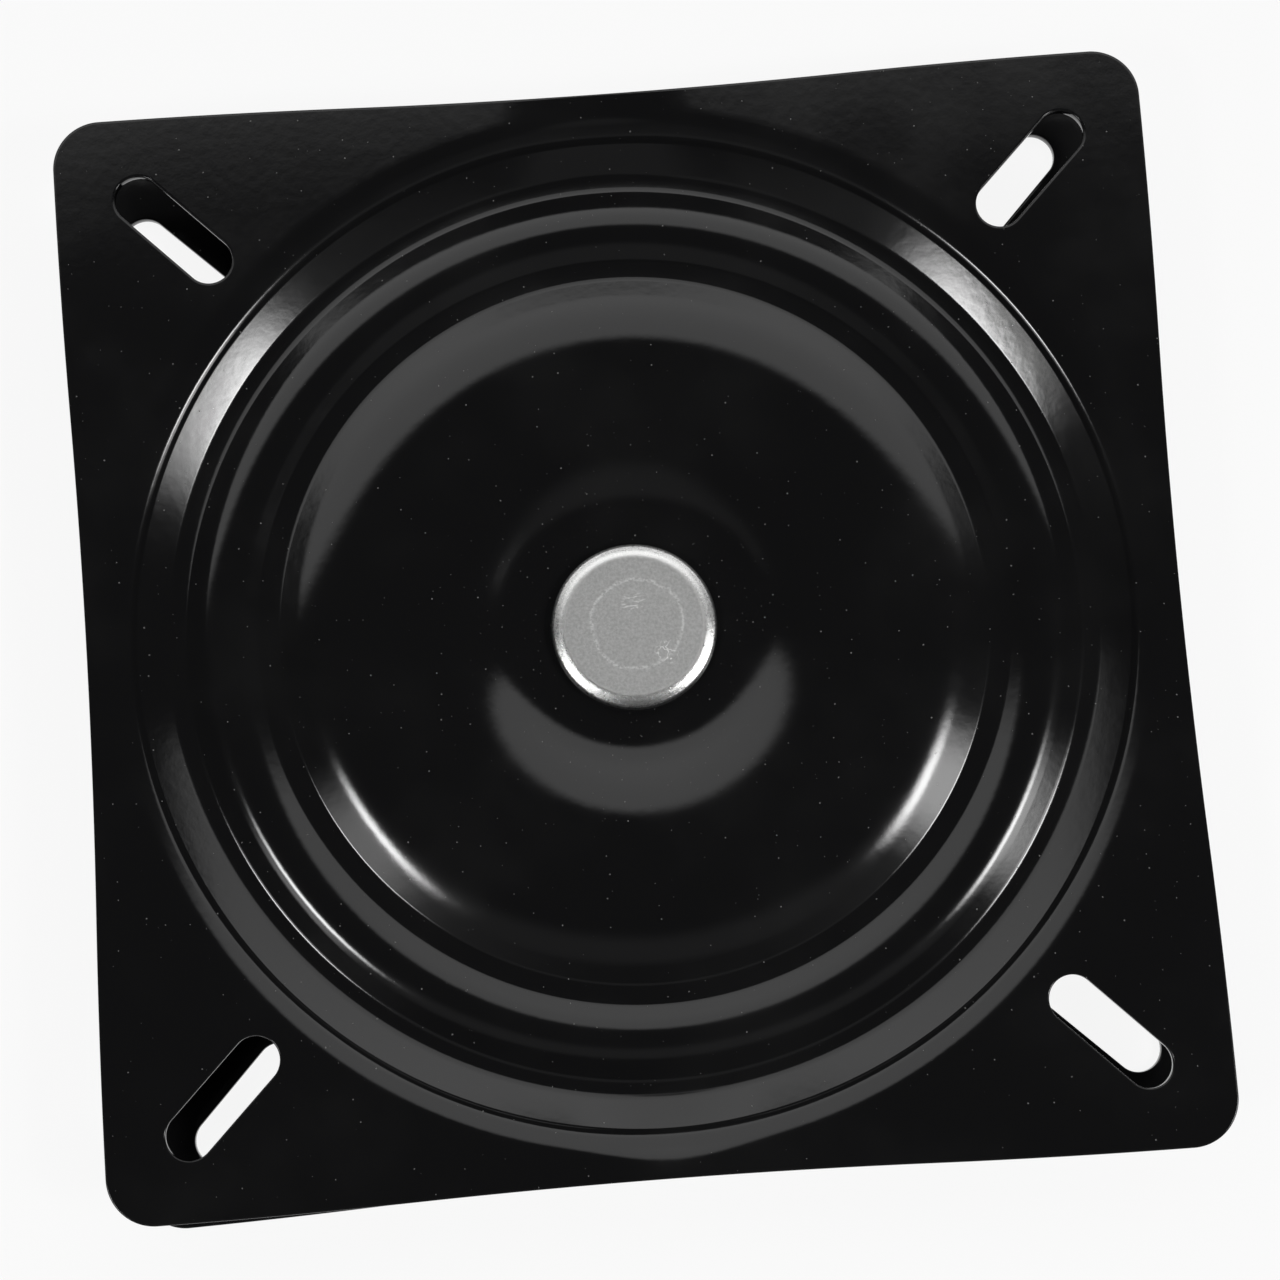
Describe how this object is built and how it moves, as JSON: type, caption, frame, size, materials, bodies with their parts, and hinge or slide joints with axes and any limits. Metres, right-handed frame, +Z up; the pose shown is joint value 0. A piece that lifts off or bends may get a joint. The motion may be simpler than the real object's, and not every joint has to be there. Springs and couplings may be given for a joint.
{
  "type": "chair swivel mechanism",
  "caption": "Square ball-bearing swivel for a chair seat: dished steel plates, face to face, turning on caged balls about a centre rivet, with slots on the diagonals for mounting.",
  "frame": {"origin": "centre of the swivel's axis on the underside of the base plate", "axes": "+Z up along the swivel's axis, out of the top plate's mounting face; +X and +Y along the sides of the base plate"},
  "size_m": [0.2044, 0.2044, 0.0226],
  "materials": {
    "black_paint": "gloss",
    "bare_steel": "satin",
    "white_nylon": "matte",
    "ball_steel": "polished"
  },
  "bodies": {
    "base": {"base_plate": "black_paint", "pivot_bush": "white_nylon"},
    "top": {"top_plate": "black_paint", "center_rivet": "bare_steel", "pivot_sleeve": "bare_steel", "rivet_washer": "bare_steel"},
    "cage": {"ball_cage": "white_nylon", "bearing_ball_01": "ball_steel", "bearing_ball_02": "ball_steel", "bearing_ball_03": "ball_steel", "bearing_ball_04": "ball_steel", "bearing_ball_05": "ball_steel", "bearing_ball_06": "ball_steel", "bearing_ball_07": "ball_steel", "bearing_ball_08": "ball_steel", "bearing_ball_09": "ball_steel", "bearing_ball_10": "ball_steel", "bearing_ball_11": "ball_steel", "bearing_ball_12": "ball_steel", "bearing_ball_13": "ball_steel", "bearing_ball_14": "ball_steel", "bearing_ball_15": "ball_steel", "bearing_ball_16": "ball_steel", "bearing_ball_17": "ball_steel", "bearing_ball_18": "ball_steel", "bearing_ball_19": "ball_steel", "bearing_ball_20": "ball_steel"}
  },
  "joints": [
    {"name": "swivel", "type": "hinge", "parent": "base", "child": "top", "pos_m": [0, 0, 0.0113], "axis": [0, 0, 1], "continuous": true},
    {"name": "cage_orbit", "type": "hinge", "parent": "base", "child": "cage", "pos_m": [0, 0, 0.0113], "axis": [0, 0, 1], "continuous": true}
  ],
  "couplings": [
    {"joint": "cage_orbit", "follows": "swivel", "ratio": 0.5}
  ]
}
